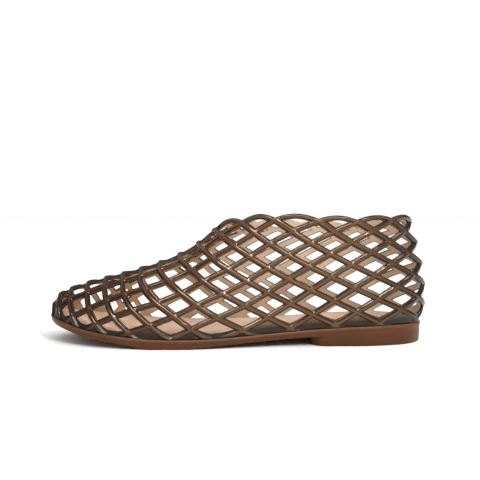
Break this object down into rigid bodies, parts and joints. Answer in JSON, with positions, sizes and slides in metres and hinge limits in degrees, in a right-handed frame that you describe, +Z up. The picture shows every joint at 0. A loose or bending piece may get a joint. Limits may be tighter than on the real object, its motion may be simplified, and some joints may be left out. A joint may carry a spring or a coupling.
{
  "type": "caged jelly ballet flat",
  "caption": "Slip-on jelly flat for the left foot: glossy moulded open-lattice upper with a scalloped collar, tan insole, thin sole with toe spring and a low block heel.",
  "frame": {"origin": "middle of the bounding box, on the floor plane that the heel and the tread stand on", "axes": "-X towards the toe, -Y towards the outer side of the foot, +Z up"},
  "size_m": [0.2554, 0.0842, 0.0851],
  "materials": {
    "upper": "glossy smoky brown soft PVC, slightly see-through",
    "insole": "smooth matt tan",
    "outsole": "satin red-brown",
    "heel": "satin dark red-brown"
  },
  "bodies": {
    "root": {"upper": "upper", "insole": "insole", "outsole": "outsole", "heel": "heel"}
  },
  "joints": []
}
